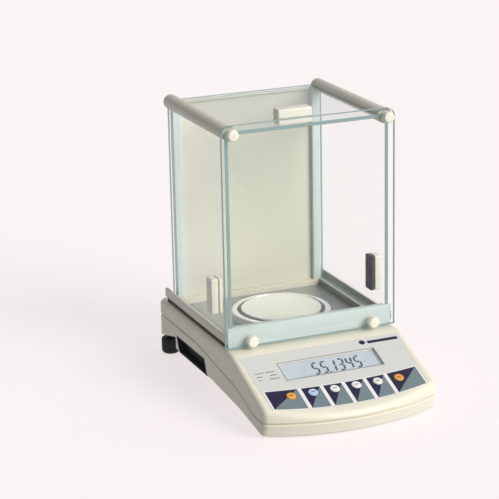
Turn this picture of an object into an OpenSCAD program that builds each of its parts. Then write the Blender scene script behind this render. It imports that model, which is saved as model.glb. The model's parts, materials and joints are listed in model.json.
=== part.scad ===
// Analytical balance with a glass draft shield, an electromagnetic weighing cell and a sloped console.
// Millimetres, +Z up, +Y to the rear. The origin is under the middle of the whole object, on the bench.
// Left and right are as seen from the front, where the console is.

/* [Base] */
// Width of the base housing
base_w = 202; // [196:1:210]
// Depth of the base housing, over the bowed front
base_d = 330; // [322:1:340]
// How far the front edge bows forward at the middle
bow = 23; // [15:1:28]
// Height of the flat deck above the bench
deck_z = 65; // [64:0.5:68]
// Radius of the base's upright corners
corner_r = 9; // [6:1:12]
// Wall thickness of both housings
wall = 2.5; // [2:0.1:3]
// Gap that shows between the two housings
seam_gap = 0.9; // [0.3:0.1:1]

/* [Console] */
// Slope of the console in degrees
slope = 20.2; // [18:0.1:22]
// Depth position of the key row
key_y = -128; // [-130:1:-126]
// Height of the console's face at the key row
key_z = 38.2; // [37:0.1:40]
// Distance between neighbouring keys
key_pitch = 25.1; // [24:0.1:26]
// Radius of a round key
key_r = 5.2; // [4.5:0.1:5.6]
// How far a key travels
key_travel = 0.5; // [0.3:0.1:0.8]
// Width of the display window
lcd_w = 113.4; // [105:0.2:116]
// Height of the display window along the slope
lcd_h = 27.8; // [24:0.2:30]

/* [Draft shield] */
// Thickness of every glass pane
glass_t = 4; // [3.5:0.1:4.2]
// Half of the front pane's width
pane_half = 100.5; // [100:0.5:101]
// Inner face of each side door, from the middle
door_x = 91; // [90.8:0.1:91.2]
// Front face of the front pane
pane_y = -43; // [-44:0.5:-42]
// Rear end of the lid, the top rails and the rear panel
shield_back = 133; // [132:1:134]
// Top of the front pane
pane_top = 312; // [308:1:314]
// Height of the top rails' centre line
rail_z = 303; // [302.5:0.1:303.5]
// Radius of the round top rails
rail_r = 8.3; // [8.2:0.1:8.6]
// Distance of the top rails' centre line from the middle
rail_x = 90; // [89.8:0.1:90.2]
// Clearance on each side of a sliding pane
slide_gap = 0.3; // [0.3:0.05:0.4]

/* [Weighing] */
// Depth position of the pan's centre
pan_y = 40; // [38:1:42]
// Radius of the weighing pan
pan_r = 45; // [43:0.5:46]
// Height of the pan's upper face
pan_top = 77; // [76.5:0.1:78]
// Outer radius of the draft ring
ring_r = 56; // [54:0.5:58]
// Inner radius of the draft ring
ring_in = 49.5; // [48:0.5:51]

/* [Feet] */
// Radius of a rear levelling foot
foot_r = 10.5; // [10:0.5:11]
// Height of a rear levelling foot
foot_h = 18.5; // [18:0.5:19]

/* [Hidden] */
$fn = 48;
eps = 0.01;
half = base_w / 2;
y_back = base_d / 2;
y_apex = -base_d / 2;
y_side = y_apex + bow;
front_r = (half * half + bow * bow) / (2 * bow);
front_c = y_apex + front_r;
hem_z = 18;
seam_z = 47;
lip_z = 18;
lap = 3;

// The seam between the housings and the lower edge of the base, from the rear to the front.
seam = [[200, seam_z], [45, seam_z], [-72, 33], [-117, lip_z], [-172, lip_z]];
hem = [[200, hem_z], [10, hem_z], [-74, 12], [-142, 1.5], [-172, 1.5]];

// Screw posts that join the housings: x and y of those on the right, then their meeting height.
posts = [[84.5, 96, 40], [84, -22, 36], [46, -138, 20]];
post_r = 4.5;
head_r = 2.8;
foot_at = [91.5, 154];
foot_stud_r = 3.5;
foot_stud_top = 34;
foot_room_x = 79.5;
pocket_t = 2.2;
grip_d = 10.4;
grip_t = 1.8;
pad_at = [78, -122];
jack_at = [-52, 34];
jack_r = 5.4;
socket_at = [36, 34.5];
vial_at = [60, 153];
board_posts = [[73, 52], [74, -3]];
lcd_s = 39.5;
lens_t = 2;
film_t = 0.6;
key_xs = [for (i = [0:5]) (i - 2.5) * key_pitch];

floor_z = deck_z + 1.2;
bar_t = 7;
bar_top = 89.5;
rail_top = 81.5;
slot_x = door_x - slide_gap;
slot_w = glass_t + 2 * slide_gap;
slot_floor = 72.5;
strip_t = 1;
rail_in = 86;
rail_out = 98.5;
rail_foot = 91;
rail_under = 70.2;
rail_back = 147;
rear_bar_y = 124;
rear_bar_top = 73.2;
post_in = 79.5;
post_out = 88.5;
post_d = 8;
panel_t = 2.5;
pane_low = 67.3;
pane_corner = 9.5;
bar_half = 90.2;
bar_y = pane_y + glass_t;
flange_half = 97;
flange_t = 1.4;
lid_half = 86.5;
lid_z = 301;
knob_low = [72, 74.7];
stud_r = 2;
shield_screw_at = [[88.5, 0], [-88.5, 0], [88.5, 112], [-88.5, 112],
    [40, -35.5], [-40, -35.5], [40, 128.5], [-40, 128.5]];

door_low = slot_floor + strip_t + slide_gap;
door_high = rail_z - 3.4;
door_front = bar_y + flange_t + 0.4;
lid_front = bar_y + 0.4;
door_back = shield_back - 3;
handle_y = -9.5;
handle_d = 15;
handle_z = 97;
handle_h = 40;
handle_in = 3.5;
handle_out = 8;
handle_screw_z = [handle_z + 9, handle_z + handle_h - 9];
lid_screw_x = [-11, 11];
lid_grip_y = -7;

cell_z = hem_z + wall;
pivot_y = 62;
pivot_z = 51;
guide_y = 82;
guide_zs = [32.5, 58];
coil_y = 112;

// Points on an arc about c, from angle a0 to a1, in n steps.
function arc(c, r, a0, a1, n) = [for (i = [0:n])
    let (a = a0 + (a1 - a0) * i / n) [c[0] + r * cos(a), c[1] + r * sin(a)]];

// The points of a run raised by dz.
function raised(run, dz) = [for (p = run) [p[0], p[1] + dz]];

// The same points in the opposite order.
function backward(run) = [for (i = [len(run) - 1:-1:0]) run[i]];

// Height of the console's face at a depth position.
function face_z(y) = key_z + tan(slope) * (y - key_y);

// The base's outline from above, moved inwards by inset.
module plan(inset) {
    hw = half - inset;
    r = corner_r - inset;
    fr = front_r - inset;
    yb = y_back - inset;
    // centre of the small arc that joins the side to the bowed front
    cx = hw - r;
    cy = front_c - sqrt((fr - r) * (fr - r) - cx * cx);
    tilt = atan2(cx, front_c - cy);
    polygon(concat(
        arc([cx, yb - r], r, 0, 90, 6),
        arc([-cx, yb - r], r, 90, 180, 6),
        arc([-cx, cy], r, 180, 270 - tilt, 6),
        arc([0, front_c], fr, 271 - tilt, 269 + tilt, 22),
        arc([cx, cy], r, 270 + tilt, 360, 6)));
}

// A side view, as depth and height points, extruded across the width.
module across(w, points) {
    rotate([90, 0, 90]) linear_extrude(w, center = true) polygon(points);
}

// Places its children on the console's face: local X across, Y up the slope, Z out of the face.
module on_face(x = 0, s = 0, out = 0) {
    translate([0, key_y, key_z]) rotate([slope, 0, 0]) translate([x, s, out]) children();
}

// Copies its children to the left and the right.
module both_sides() {
    children();
    mirror([1, 0, 0]) children();
}

// Leaves its children on the right for side 1, and mirrors them to the left for side -1.
module on_side(side) {
    if (side > 0) children();
    else mirror([1, 0, 0]) children();
}

// A cylinder along +Y.
module rod_y(r, len) {
    rotate([-90, 0, 0]) cylinder(r = r, h = len);
}

// The console's top surface and the deck, lowered by drop, down to the seam raised by lift.
module upper_form(inset, drop, lift) {
    knee = key_y + (deck_z - key_z) / tan(slope) + drop * tan(slope / 2);
    fall = drop / cos(slope);
    intersection() {
        linear_extrude(deck_z + 5) plan(inset);
        across(base_w + 20, concat(raised(seam, lift),
            [[-172, face_z(-172) - fall], [knee, deck_z - drop], [200, deck_z - drop]]));
    }
}

module lower_form(inset, rise, top) {
    intersection() {
        linear_extrude(deck_z) plan(inset);
        across(base_w + 20, concat(raised(seam, top), backward(raised(hem, rise))));
    }
}

// The film's outline on the console's face.
module film_outline(grow) {
    top_s = 71.5 + grow;
    top_half = 94 + grow;
    low_half = 91 + grow;
    low_s = -14 - grow;
    sag = 13;
    r = (low_half * low_half + sag * sag) / (2 * sag);
    swing = asin(low_half / r);
    polygon(concat([[top_half, top_s], [-top_half, top_s]],
        arc([0, low_s - sag + r], r, 270 - swing, 270 + swing, 20)));
}

module grip_outline(grow) {
    top = 36.5 + grow;
    low = hem_z - 6;
    polygon([[98 + grow, low], [108.5 + grow, top], [22 - grow, top], [11.5 - grow, low]]);
}

module lower_housing() color([0.87, 0.85, 0.77]) {
    difference() {
        union() {
            difference() {
                lower_form(0, 0, -seam_gap / 2);
                lower_form(wall, wall, 20);
            }
            // lip that stands up inside the upper housing, and the thicker wall that it grows from
            difference() {
                union() {
                    lower_form(wall + 0.25, 8, lap);
                    lower_form(wall - 0.5, 8, -lap);
                }
                lower_form(wall + 1.75, 4, 20);
            }
            intersection() {
                lower_form(0.5, 0.5, 40);
                both_sides() {
                    for (p = posts) translate([p[0], p[1], 0]) cylinder(r = post_r, h = p[2]);
                    translate([foot_at[0], foot_at[1], hem_z]) cylinder(r = 7, h = 20);
                    for (y = [30, 110]) translate([52, y, hem_z]) cylinder(r = 3.5, h = 6.5);
                }
            }
            // walls round the room for each levelling foot
            intersection() {
                lower_form(0.5, 0.5, -1);
                both_sides() foot_room(pocket_t);
            }
        }
        both_sides() {
            // counterbored screw holes
            for (p = posts) translate([p[0], p[1], -1]) cylinder(r = 1.7, h = p[2] + 5);
            for (p = posts) translate([p[0], p[1], -1]) cylinder(r = head_r + 0.4, h = post_seat(p) + 1);
            // rooms and threaded bores for the levelling feet
            foot_room(0);
            translate([foot_at[0], foot_at[1], hem_z - 1]) cylinder(r = foot_stud_r + 0.05, h = 18.5);
            // finger recess
            translate([half - grip_d, 0, 0]) rotate([90, 0, 90]) linear_extrude(20) grip_outline(0.2);
        }
        // openings in the rear wall for the power jack and the data socket, and their seats inside
        translate([jack_at[0], y_back - 9, jack_at[1]]) rod_y(jack_r + 0.2, 18);
        translate([jack_at[0], y_back - 9, jack_at[1]]) rod_y(8.5, 9 - wall);
        translate([socket_at[0] - 16, y_back - 9, socket_at[1] - 6.6]) cube([32, 9 - wall, 13.2]);
        translate([socket_at[0] - 10, y_back - 9, socket_at[1] - 5.4]) cube([20, 18, 10.8]);
        for (x = [-12.5, 12.5]) translate([socket_at[0] + x, y_back - 9, socket_at[1]]) rod_y(3, 18);
    }
}

// Room at a rear corner, open below and at the side, in which a levelling foot turns.
module foot_room(grow) {
    translate([foot_room_x - grow, 0, 0]) rotate([90, 0, 90]) linear_extrude(half) polygon([
        [111 - grow, 0], [111 - grow, 33.5 + grow], [150, 24 + 1.6 * grow], [180, 19.5 + 4 * grow], [180, 0]]);
}

// Height of a housing screw's head seat.
function post_seat(p) = p[1] > 0 ? hem_z + 5 : p[1] > -100 ? 22 : 9;

module upper_housing() color([0.94, 0.92, 0.84]) {
    difference() {
        union() {
            difference() {
                upper_form(0, 0, seam_gap / 2);
                upper_form(wall, wall, -20);
            }
            // screw bosses, and the key board's bosses behind the face
            intersection() {
                upper_form(0.8, 0.8, -20);
                both_sides() for (p = posts) translate([p[0], p[1], p[2]]) cylinder(r = post_r, h = 60);
            }
            both_sides() for (p = board_posts) on_face(p[0], p[1], -9.2) cylinder(r = 3, h = 8);
        }
        both_sides() for (p = posts) translate([p[0], p[1], p[2] - 1]) cylinder(r = 1.3, h = 9);
        // recess for the film, window and key holes
        on_face(0, 0, -film_t) linear_extrude(5) film_outline(0.2);
        window(-1, -8, 12);
        window(2, -lens_t, 6);
        for (x = key_xs) on_face(x, 0, -6) cylinder(r = key_r + 0.4, h = 8);
        // hole for the pan's hanger, and the shield's screw holes
        translate([0, pan_y, deck_z - 8]) cylinder(r = 12, h = 12);
        for (p = shield_screw_at) translate([p[0], p[1], deck_z - 8]) cylinder(r = 1.7, h = 12);
        // seat for the level vial
        translate([vial_at[0], vial_at[1], deck_z - 8]) cylinder(r = 8.1, h = 12);
    }
}

// A block over the display window, wider by grow on each side.
module window(grow, out, h) {
    on_face(0, lcd_s, out) translate([-lcd_w / 2 - grow, -lcd_h / 2 - grow, 0])
        cube([lcd_w + 2 * grow, lcd_h + 2 * grow, h]);
}

module side_grip(side) color([0.12, 0.12, 0.14]) on_side(side) difference() {
    intersection() {
        translate([half - grip_d + 0.2, 0, 0]) rotate([90, 0, 90]) linear_extrude(10) grip_outline(0.2);
        translate([half - 12, 0, hem_z + 0.1]) cube([20, 120, 30]);
    }
    // finger pocket, open at the side, over a lip along the hem
    intersection() {
        translate([half - grip_d + 2, 0, 0]) rotate([90, 0, 90]) linear_extrude(12) grip_outline(-grip_t);
        translate([half - 12, 0, hem_z + 0.1 + grip_t]) cube([20, 120, 30]);
    }
}

module level_foot(side) color([0.11, 0.11, 0.12]) on_side(side) translate([foot_at[0], foot_at[1], 0]) {
    difference() {
        rotate_extrude() polygon(concat([[0, 0], [foot_r - 4, 0]], arc([foot_r - 4, 4], 4, -80, 0, 6),
            [[foot_r, foot_h - 1], [foot_r - 1, foot_h], [foot_stud_r, foot_h],
                [foot_stud_r, foot_stud_top], [0, foot_stud_top]]));
        // finger flutes round the wheel
        for (a = [0:30:330]) rotate([0, 0, a]) translate([foot_r + 1.3, 0, 5])
            cylinder(r = 2, h = 20, $fn = 24);
    }
}

// Rubber pads whose upper faces follow the slope of the housing's underside.
module front_pads() color([0.14, 0.14, 0.14]) both_sides() difference() {
    translate([pad_at[0], pad_at[1], 0]) rotate_extrude()
        polygon([[0, 0], [7.5, 0], [9, 1.2], [9, 10], [0, 10]]);
    lower_form(0, 0, 0);
}

module housing_screws() color([0.6, 0.6, 0.62]) both_sides() for (p = posts)
    translate([p[0], p[1], post_seat(p)]) difference() {
        union() {
            translate([0, 0, -2]) cylinder(r = head_r, h = 2);
            cylinder(r = 1.25, h = p[2] - post_seat(p) + 6);
        }
        translate([0, 0, -2.5]) cylinder(r = 1.4, h = 1.7, $fn = 6);
    }

module keypad_film() color([0.88, 0.88, 0.86]) on_face(0, 0, -film_t) difference() {
    linear_extrude(film_t) film_outline(0);
    translate([-lcd_w / 2, lcd_s - lcd_h / 2, -1]) cube([lcd_w, lcd_h, 3]);
    for (x = key_xs) translate([x, 0, -1]) cylinder(r = key_r + 0.4, h = 3);
}

module display_lens() color([0.8, 0.85, 0.88, 0.6]) window(1.8, -lens_t, lens_t - film_t);

module lcd_module() color([0.7, 0.74, 0.7]) on_face(0, lcd_s, 0) {
    // glass cell, then its frame with bent tabs
    translate([-57, -15.5, -5.4]) cube([114, 31, 2.4]);
    difference() {
        translate([-59.5, -18, -9.2]) cube([119, 36, 3.8]);
        translate([-50, -10, -10]) cube([100, 20, 3]);
    }
}

module key_board() color([0.1, 0.4, 0.22]) on_face(0, 0, 0) difference() {
    union() {
        translate([-78, -7, -10.8]) cube([156, 65, 1.6]);
        // switches under the keys, and a connector
        for (x = key_xs) translate([x - 3, -3, -9.2]) cube([6, 6, 1.6]);
        for (x = key_xs) translate([x, 0, -7.6]) cylinder(r = 1.7, h = 0.5);
        translate([-70, 46, -15]) cube([20, 6, 4.2]);
    }
    both_sides() for (p = board_posts) translate([p[0], p[1], -12]) cylinder(r = 1.3, h = 5);
}

module key(i) color(i == 0 || i == 5 ? [0.93, 0.68, 0.3] : i == 1 ? [0.72, 0.83, 0.94] : [0.93, 0.93, 0.92])
    on_face(key_xs[i], 0, 0) {
        // domed cap, retaining flange under the face, and the plunger
        rotate_extrude() polygon(concat([[0, -6.1], [1.7, -6.1], [1.7, -4.4], [key_r + 1.4, -4.4],
            [key_r + 1.4, -2.9], [key_r, -2.9], [key_r, 0.4]],
            arc([key_r - 0.6, 0.4], 0.6, 0, 80, 4), [[0, 1.2]]));
    }

module main_board() color([0.12, 0.42, 0.24]) {
    difference() {
        translate([44, 14, cell_z + 4]) cube([32, 112, 1.6]);
        for (y = [30, 110]) translate([52, y, cell_z]) cylinder(r = 1.6, h = 12);
    }
    // processor, converter, capacitors and sockets
    translate([54, 58, cell_z + 5.6]) cube([14, 14, 1.8]);
    translate([57, 84, cell_z + 5.6]) cube([9, 16, 2.4]);
    for (y = [40, 50]) translate([70, y, cell_z + 5.6]) cylinder(r = 3.2, h = 9);
    translate([46, 90, cell_z + 5.6]) cube([6, 14, 7]);
    translate([62, 17, cell_z + 5.6]) cube([12, 6, 7]);
}

module power_jack() color([0.13, 0.13, 0.14]) translate([jack_at[0], y_back - wall, jack_at[1]]) {
    difference() {
        union() {
            // flange inside the wall, and the barrel that fills the hole
            translate([0, -1.6, 0]) rod_y(7.6, 1.6);
            translate([0, -12, 0]) rod_y(jack_r, 12 + wall - 0.4);
        }
        translate([0, -8.5, 0]) rod_y(2.9, 12);
    }
    translate([0, -9, 0]) rod_y(1, 9.5);
    translate([-5, -15, -5]) cube([10, 3.2, 10]);
}

// The D-shaped outline of the data socket.
module socket_outline(grow) {
    high = 3.9 + grow;
    polygon([[-8.3 - grow, -high], [8.3 + grow, -high], [7 + grow, high], [-7 - grow, high]]);
}

module data_socket() color([0.7, 0.7, 0.72]) translate([socket_at[0], y_back - wall, socket_at[1]]) {
    difference() {
        union() {
            translate([-15.4, -8, -6.2]) cube([30.8, 8, 12.4]);
            rotate([-90, 0, 0]) linear_extrude(wall - 0.3) socket_outline(0.7);
            for (x = [-12.5, 12.5]) translate([x, 0, 0]) rotate([-90, 0, 0]) cylinder(r = 2.6, h = 2, $fn = 6);
        }
        rotate([-90, 0, 0]) translate([0, 0, -4]) linear_extrude(8) socket_outline(0);
        for (x = [-12.5, 12.5]) translate([x, -9, 0]) rod_y(1.3, 12);
    }
    // two rows of pins
    for (i = [0:4]) translate([(i - 2) * 2.77, -5, -1.42]) rod_y(0.5, 5);
    for (i = [0:3]) translate([(i - 1.5) * 2.77, -5, 1.42]) rod_y(0.5, 5);
}

module level_vial() color([0.75, 0.88, 0.4]) translate([vial_at[0], vial_at[1], deck_z]) difference() {
    union() {
        translate([0, 0, -6]) cylinder(r = 8, h = 6.4);
        cylinder(r = 9.2, h = 1.2);
    }
    // sight well over the bubble
    translate([0, 0, 0.4]) cylinder(r = 6.4, h = 2);
}

module shield_screws() color([0.6, 0.6, 0.62]) for (p = shield_screw_at)
    translate([p[0], p[1], deck_z - wall]) difference() {
        union() {
            translate([0, 0, -2]) cylinder(r = head_r, h = 2);
            cylinder(r = 1.5, h = wall + 4.5);
        }
        translate([0, 0, -2.5]) cylinder(r = 1.4, h = 1.7, $fn = 6);
    }

module shield_bores() {
    for (p = shield_screw_at) translate([p[0], p[1], deck_z - 1]) cylinder(r = 1.55, h = 6.5);
}

module floor_plate() color([0.62, 0.64, 0.65]) difference() {
    translate([-rail_in, bar_y + bar_t, deck_z])
        cube([2 * rail_in, rear_bar_y - bar_y - bar_t, floor_z - deck_z]);
    translate([0, pan_y, deck_z - 1]) cylinder(r = 12, h = 4);
}

module front_bar() color([0.78, 0.84, 0.8]) difference() {
    union() {
        translate([-bar_half, bar_y, deck_z]) cube([2 * bar_half, bar_t, bar_top - deck_z]);
        // thin flange behind the whole width of the front pane
        translate([-flange_half, bar_y, deck_z]) cube([2 * flange_half, flange_t, bar_top - deck_z]);
    }
    both_sides() translate([knob_low[0], bar_y - 1, knob_low[1]]) rod_y(stud_r + 0.06, bar_t + 2);
    shield_bores();
}

module rear_bar() color([0.86, 0.85, 0.77]) difference() {
    translate([-rail_in, rear_bar_y, deck_z])
        cube([2 * rail_in, shield_back - rear_bar_y, rear_bar_top - deck_z]);
    shield_bores();
}

module lower_rail(side) color([0.84, 0.83, 0.76]) on_side(side) difference() {
    // a foot on the deck, a low inner lip, and a tall rounded outer lip that overhangs the deck
    translate([0, rail_back, 0]) rotate([90, 0, 0]) linear_extrude(rail_back - bar_y - flange_t) polygon(concat(
        [[rail_in, deck_z], [rail_foot, deck_z], [rail_foot, rail_under]],
        arc([rail_out - 3, rail_under + 3], 3, -90, 0, 6),
        arc([rail_out - 1.4, rail_top - 1.4], 1.4, 0, 90, 4),
        [[slot_x + slot_w, rail_top], [slot_x + slot_w, slot_floor - 1], [slot_x, slot_floor - 1],
        [slot_x, rear_bar_top], [rail_in, rear_bar_top]]));
    // room for the front bar
    translate([0, bar_y - 1, deck_z - 1]) cube([slot_x + 0.2, bar_t + 1, 30]);
    shield_bores();
}

module slide_strips() color([0.93, 0.93, 0.9]) both_sides() difference() {
    translate([slot_x + 0.05, bar_y + flange_t, slot_floor - 1])
        cube([slot_w - 0.1, rail_back - 4 - bar_y - flange_t, strip_t]);
    // drain slots along the strip
    for (y = [0:30:120]) translate([door_x + 1, y, slot_floor - 1]) cube([2, 8, 4]);
}

module rear_post(side) color([0.78, 0.82, 0.84]) on_side(side) difference() {
    translate([post_in, shield_back - post_d, rear_bar_top])
        cube([post_out - post_in, post_d, rail_z - rear_bar_top]);
    // rebate for the rear panel
    translate([post_in - 1, shield_back - panel_t, rear_bar_top - 1]) cube([3, 4, 240]);
    // saddle that the top rail lies in, and the lid's path
    translate([rail_x, 100, rail_z]) rod_y(rail_r, 60);
    translate([0, 100, lid_z - 0.7]) cube([lid_half + 0.5, 60, 30]);
}

module top_rail(side) color([0.84, 0.83, 0.76]) on_side(side) difference() {
    translate([rail_x, bar_y, rail_z]) rod_y(rail_r, shield_back - bar_y);
    // slot for the lid
    translate([lid_half - 9, pane_y, lid_z - slide_gap]) cube([9.4, 200, slot_w]);
    // slot for the door
    translate([slot_x, pane_y, rail_z - 12]) cube([slot_w, 200, 9]);
    // bore for the clamping knob
    translate([rail_x, pane_y, rail_z]) rod_y(stud_r + 0.06, 20);
}

module rear_panel() color([0.82, 0.83, 0.77]) {
    translate([-post_in - 2, shield_back - panel_t, rear_bar_top])
        cube([2 * post_in + 4, panel_t, lid_z - 0.7 - rear_bar_top]);
    // stiffening fold along the top edge
    translate([-post_in + 2, shield_back - 6, lid_z - 2.7]) cube([2 * post_in - 4, 3.5, 2]);
}

module front_glass() color([0.78, 0.9, 0.86, 0.4]) difference() {
    translate([0, pane_y + glass_t, 0]) rotate([90, 0, 0]) linear_extrude(glass_t) polygon(concat(
        [[-pane_half, pane_low], [pane_half, pane_low]],
        arc([pane_half - pane_corner, pane_top - pane_corner], pane_corner, 0, 90, 10),
        arc([-pane_half + pane_corner, pane_top - pane_corner], pane_corner, 90, 180, 10)));
    both_sides() {
        translate([rail_x, pane_y - 1, rail_z]) rod_y(stud_r + 0.4, glass_t + 2);
        translate([knob_low[0], pane_y - 1, knob_low[1]]) rod_y(stud_r + 0.4, glass_t + 2);
    }
}

module door_glass(side) color([0.78, 0.9, 0.86, 0.4]) on_side(side) difference() {
    translate([door_x, door_front, door_low]) cube([glass_t, door_back - door_front, door_high - door_low]);
    for (z = handle_screw_z) on_door(z, -1) cylinder(r = 1.8, h = glass_t + 2);
}

// Places its children's +Z along +X at a handle screw, out from the door's inner face.
module on_door(z, out) {
    translate([door_x + out, handle_y + handle_d / 2, z]) rotate([0, 90, 0]) children();
}

// Rounded bar seen along its length: a rectangle of w by d with two rounded outer corners.
module handle_section(w, d) {
    polygon(concat([[0, 0]], arc([w - 2.5, 2.5], 2.5, -90, 0, 5),
        arc([w - 2.5, d - 2.5], 2.5, 0, 90, 5), [[0, d]]));
}

module door_handle(side) color([0.95, 0.94, 0.86]) on_side(side) difference() {
    union() {
        // outer half, then inner half
        translate([door_x + glass_t, handle_y, handle_z])
            linear_extrude(handle_h) handle_section(handle_out, handle_d);
        translate([door_x, handle_y, handle_z]) mirror([1, 0, 0])
            linear_extrude(handle_h) handle_section(handle_in, handle_d);
    }
    for (z = handle_screw_z) {
        on_door(z, -handle_in) cylinder(r = 1.35, h = handle_in + glass_t + 5);
        on_door(z, -handle_in - 1) cylinder(r = 2.6, h = 3);
    }
}

module lid_glass() color([0.78, 0.9, 0.86, 0.4]) difference() {
    translate([-lid_half, lid_front, lid_z]) cube([2 * lid_half, shield_back - lid_front, glass_t]);
    for (x = lid_screw_x) translate([x, lid_grip_y + handle_d / 2, lid_z - 1])
        cylinder(r = 1.8, h = glass_t + 2);
}

module lid_handle() color([0.95, 0.94, 0.86]) difference() {
    union() {
        translate([-20, lid_grip_y, lid_z + glass_t]) rotate([90, 0, 90]) linear_extrude(40)
            polygon(concat([[0, 0], [handle_d, 0]], arc([handle_d - 2.5, 6.5], 2.5, 0, 90, 5),
                arc([2.5, 6.5], 2.5, 90, 180, 5)));
        translate([-20, lid_grip_y, lid_z]) rotate([90, 0, 90]) linear_extrude(40)
            polygon(concat([[handle_d, 0], [0, 0]], arc([2.5, -3.5], 2.5, 180, 270, 5),
                arc([handle_d - 2.5, -3.5], 2.5, 270, 360, 5)));
    }
    for (x = lid_screw_x) {
        translate([x, lid_grip_y + handle_d / 2, lid_z - 4]) cylinder(r = 1.35, h = glass_t + 10);
        translate([x, lid_grip_y + handle_d / 2, lid_z - 8]) cylinder(r = 2.6, h = 4.5);
    }
}

module clamp_knob(x, z, reach) color([0.96, 0.95, 0.88])
    translate([x, pane_y - 0.3, z]) rotate([90, 0, 0]) difference() {
    rotate_extrude() polygon(concat([[0, 9], [4, 8.6]], arc([4.2, 6.6], 2, 78, 0, 5),
        [[6.3, 1], [5.6, 0], [stud_r, 0], [stud_r, -reach], [0, -reach]]));
    for (a = [0:45:315]) rotate([0, 0, a]) translate([7.1, 0, -1]) cylinder(r = 1.1, h = 6, $fn = 20);
}

module cell_frame() color([0.72, 0.73, 0.74]) difference() {
    union() {
        translate([-38, 26, cell_z]) cube([76, 119, 5]);
        both_sides() {
            // cheeks that carry the guides and pillars that carry the lever's pivot
            translate([14, guide_y - 4, cell_z + 5]) cube([18, 11, 35.5]);
            translate([9, pivot_y - 4, cell_z + 5]) cube([4, 8, 29]);
        }
    }
    both_sides() {
        translate([7, pivot_y, pivot_z]) rotate([0, 90, 0]) cylinder(r = 1.55, h = 8);
        // slots that the guides' roots sit in
        for (z = guide_zs) translate([13, guide_y - 5, z - 0.6]) cube([20, 6, 2.6]);
        for (y = [34, 138]) translate([32, y, cell_z - 1]) cylinder(r = 2.2, h = 8);
    }
    // window under the load hanger
    translate([-16, 32, cell_z - 1]) cube([32, 16, 8]);
    translate([0, coil_y, cell_z + 3]) cylinder(r = 20.05, h = 5);
}

module guide(z) color([0.8, 0.78, 0.7]) difference() {
    translate([-28, 38, z]) cube([56, guide_y - 38, 1.4]);
    // open middle round the lever's pillars, and thinned bending zones
    translate([-14.5, 50, z - 1]) cube([29, 40, 4]);
    for (y = [50, guide_y - 8]) translate([-30, y, z + 0.5]) cube([60, 3, 2]);
    // the hanger stands between the tips
    translate([-10, 30, z - 1]) cube([20, 16.4, 4]);
}

module load_hanger() color([0.74, 0.75, 0.77]) difference() {
    union() {
        translate([-14, 34, 29]) cube([28, 12, 31.5]);
        translate([0, pan_y, 60]) cylinder(r = 6, h = 3);
        translate([0, pan_y, 62]) cylinder(r = 3, h = 11.5);
        translate([-6, 45, 38]) cube([12, 7, 6.5]);
    }
    // slots that the guides' tips run in
    for (z = guide_zs) both_sides() translate([9.4, 37.4, z - 0.5]) cube([30, 10, 2.4]);
    // window that lightens the block
    translate([-8, 33, 44]) cube([16, 14, 10]);
}

module lever() color([0.78, 0.79, 0.8]) difference() {
    union() {
        translate([-5, 49, 49]) cube([10, 91, 4]);
        translate([-8, pivot_y - 3.5, 48]) cube([16, 7, 6]);
        translate([-14, pivot_y, pivot_z]) rotate([0, 90, 0]) cylinder(r = 1.5, h = 28);
        // coupling end over the hanger's nose, coil boss and sensor flag
        translate([-5, 49, 45]) cube([10, 3, 5]);
        translate([0, coil_y, 44]) cylinder(r = 5, h = 6);
        translate([-3, 138.2, 38]) cube([6, 0.8, 12]);
    }
    translate([-3, 70, 48]) cube([6, 36, 6]);
}

module coil() color([0.72, 0.42, 0.22]) translate([0, coil_y, 0]) {
    // bobbin cap and winding
    difference() {
        translate([0, 0, 42]) cylinder(r = 15.6, h = 2);
        translate([0, 0, 41]) cylinder(r = 3, h = 4);
    }
    difference() {
        translate([0, 0, 33]) cylinder(r = 15.4, h = 9);
        translate([0, 0, 32]) cylinder(r = 12.8, h = 12);
    }
}

module magnet_pot() color([0.5, 0.5, 0.53]) translate([0, coil_y, 0]) difference() {
    translate([0, 0, cell_z + 3]) cylinder(r = 20, h = 17.5);
    translate([0, 0, cell_z + 6.5]) cylinder(r = 16.8, h = 20);
}

module magnet_core() color([0.42, 0.42, 0.46]) translate([0, coil_y, 0]) {
    // magnet, then the pole plate on it
    translate([0, 0, cell_z + 6.5]) cylinder(r = 10.5, h = 8);
    translate([0, 0, cell_z + 14.5]) cylinder(r = 11.6, h = 3.5);
}

module position_sensor() color([0.16, 0.16, 0.18]) difference() {
    translate([-9, 134, cell_z + 5]) cube([18, 9.4, 19]);
    // slot that the lever's flag moves in
    translate([-5, 136.6, cell_z + 12]) cube([10, 4, 16]);
}

module pan_support() color([0.7, 0.71, 0.73]) translate([0, pan_y, 0]) difference() {
    union() {
        translate([0, 0, 67]) cylinder(r = 6.5, h = pan_top - 1.2 - 67);
        translate([0, 0, pan_top - 3.2]) cylinder(r = 13, h = 2);
        for (a = [0:120:240]) rotate([0, 0, a]) translate([0, -4, pan_top - 3.2]) cube([36, 8, 2]);
    }
    translate([0, 0, 60]) cylinder(r = 3.06, h = 13.8);
}

module pan() color([0.8, 0.81, 0.82]) translate([0, pan_y, 0]) rotate_extrude($fn = 96)
    polygon([[0, pan_top - 1.2], [pan_r - 1, pan_top - 1.2], [pan_r - 1, pan_top - 3], [pan_r, pan_top - 3],
        [pan_r, pan_top - 0.4], [pan_r - 0.4, pan_top], [0, pan_top]]);

module draft_ring() color([0.82, 0.83, 0.84]) translate([0, pan_y, 0]) rotate_extrude($fn = 96)
    polygon([[ring_r - 1.5, floor_z + 0.3], [ring_r, floor_z + 0.3], [ring_r, pan_top - 2.3],
        [ring_r - 0.8, pan_top - 1.5], [ring_in, pan_top - 1.5], [ring_in, pan_top - 2.7],
        [ring_r - 1.5, pan_top - 2.7]]);

module door_screws(side) color([0.6, 0.6, 0.62]) on_side(side) for (z = handle_screw_z)
    on_door(z, -handle_in) screw(2, 1.3, glass_t + 6);

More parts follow.
